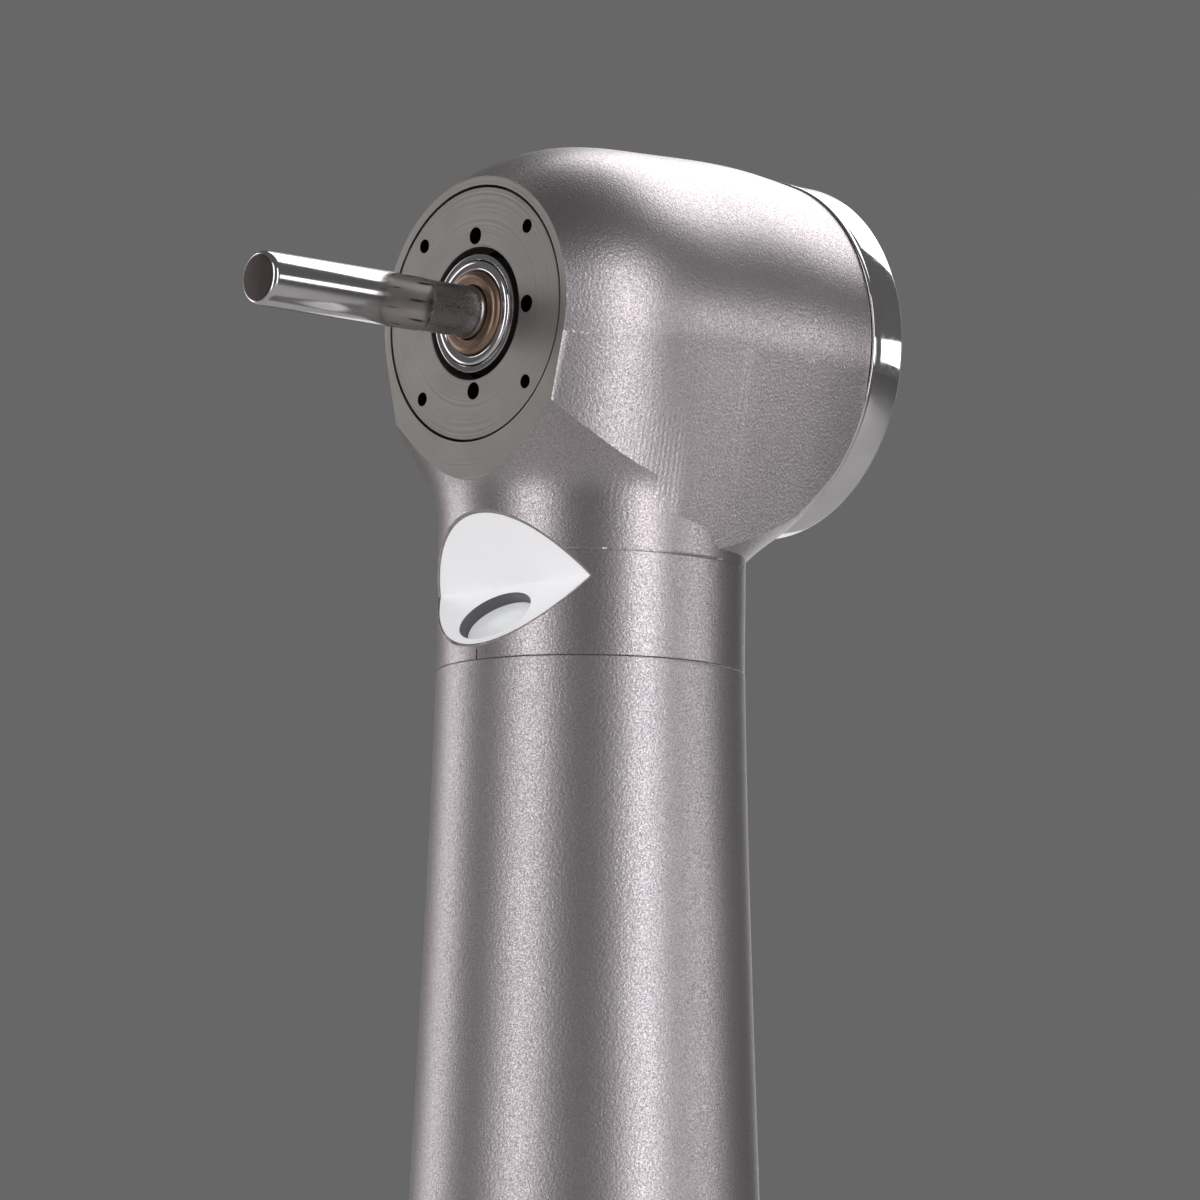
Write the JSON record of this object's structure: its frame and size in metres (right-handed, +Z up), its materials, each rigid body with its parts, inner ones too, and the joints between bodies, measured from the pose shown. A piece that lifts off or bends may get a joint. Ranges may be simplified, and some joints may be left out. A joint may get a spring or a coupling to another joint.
{
  "type": "dental high speed handpiece",
  "caption": "Air turbine dental handpiece with a push button chuck, a lamp in the neck, a bent handle and a threaded hose end.",
  "frame": {"origin": "centre of the flat end face of the tail, where the hose screws on", "axes": "+Z up the neck towards the head; the tool points along -Y; X across. The tail leans 20 degrees from +Z in the YZ plane."},
  "size_m": [0.0154, 0.0484, 0.1281],
  "materials": {
    "blasted_metal": "micro-blasted satin",
    "turned_metal": "fine turned",
    "polished_metal": "polished",
    "hard_steel": "ground",
    "chuck_bronze": "turned",
    "black_rubber": "moulded",
    "white_insert": "moulded, semi-gloss",
    "clear_lens": "polished",
    "board": "phosphor and board",
    "fluid_brass": "turned",
    "tube_steel": "drawn",
    "wheel_alloy": "anodised",
    "race_ceramic": "lapped",
    "cage_polymer": "machined polymer",
    "lead_plastic": "extruded",
    "coil_copper": "enamelled wire"
  },
  "bodies": {
    "handle": {"head_housing": "blasted_metal", "handle_sleeve": "blasted_metal", "spray_disc": "turned_metal", "back_cap": "polished_metal", "stop_ring": "polished_metal", "button_spring": "hard_steel", "preload_washer": "hard_steel", "front_oring": "black_rubber", "rear_oring": "black_rubber", "neck_oring": "black_rubber", "tail_oring": "black_rubber", "nonreturn_valve": "black_rubber", "front_bearing_outer": "hard_steel", "rear_bearing_outer": "hard_steel", "light_carrier": "white_insert", "led_lens": "clear_lens", "led_board": "board", "led_leads": "lead_plastic", "neck_manifold": "fluid_brass", "drive_air_tube": "tube_steel", "water_tube": "tube_steel", "chip_air_tube": "tube_steel", "water_elbow": "tube_steel", "chip_air_elbow": "tube_steel", "tail_body": "turned_metal", "tail_ring": "polished_metal", "generator_can": "tube_steel", "generator_bush_low": "fluid_brass", "generator_bush_high": "fluid_brass", "generator_coil": "coil_copper", "generator_outlet": "tube_steel", "generator_nozzle": "tube_steel"},
    "rotor": {"spindle": "hard_steel", "dust_ring": "hard_steel", "impeller": "wheel_alloy", "chuck": "chuck_bronze", "chuck_plug": "hard_steel", "front_bearing_inner": "hard_steel", "rear_bearing_inner": "hard_steel"},
    "front_cage": {"front_bearing_cage": "cage_polymer", "front_bearing_balls": "race_ceramic"},
    "rear_cage": {"rear_bearing_cage": "cage_polymer", "rear_bearing_balls": "race_ceramic"},
    "button": {"push_button": "polished_metal", "button_pad": "hard_steel"},
    "opener": {"opener_pin": "hard_steel"},
    "tool": {"bur_blank": "hard_steel"},
    "lamp_rotor": {"generator_rotor": "hard_steel"}
  },
  "joints": [
    {"name": "rotor_spin", "type": "hinge", "parent": "handle", "child": "rotor", "pos_m": [0, -0.0301, 0.12069], "axis": [0, 1, 0], "continuous": true},
    {"name": "front_cage_spin", "type": "hinge", "parent": "handle", "child": "front_cage", "pos_m": [0, -0.03237, 0.12069], "axis": [0, 1, 0], "continuous": true},
    {"name": "rear_cage_spin", "type": "hinge", "parent": "handle", "child": "rear_cage", "pos_m": [0, -0.02579, 0.12069], "axis": [0, 1, 0], "continuous": true},
    {"name": "button_press", "type": "slide", "parent": "handle", "child": "button", "axis": [0, -1, 0], "range_m": [0, 0.0005], "stiffness_N_per_m": 10000, "springref_m": -0.0002},
    {"name": "opener_push", "type": "slide", "parent": "rotor", "child": "opener", "axis": [0, -1, 0], "range_m": [0, 0.00032]},
    {"name": "tool_draw", "type": "slide", "parent": "rotor", "child": "tool", "axis": [0, -1, 0], "range_m": [0, 0.009]},
    {"name": "generator_spin", "type": "hinge", "parent": "handle", "child": "lamp_rotor", "pos_m": [0, -0.0043, 0.01972], "axis": [0, -0.342, 0.9397], "continuous": true}
  ],
  "couplings": [
    {"joint": "front_cage_spin", "follows": "rotor_spin", "ratio": 0.395},
    {"joint": "rear_cage_spin", "follows": "rotor_spin", "ratio": 0.395},
    {"joint": "opener_push", "follows": "button_press", "ratio": 0.64}
  ]
}
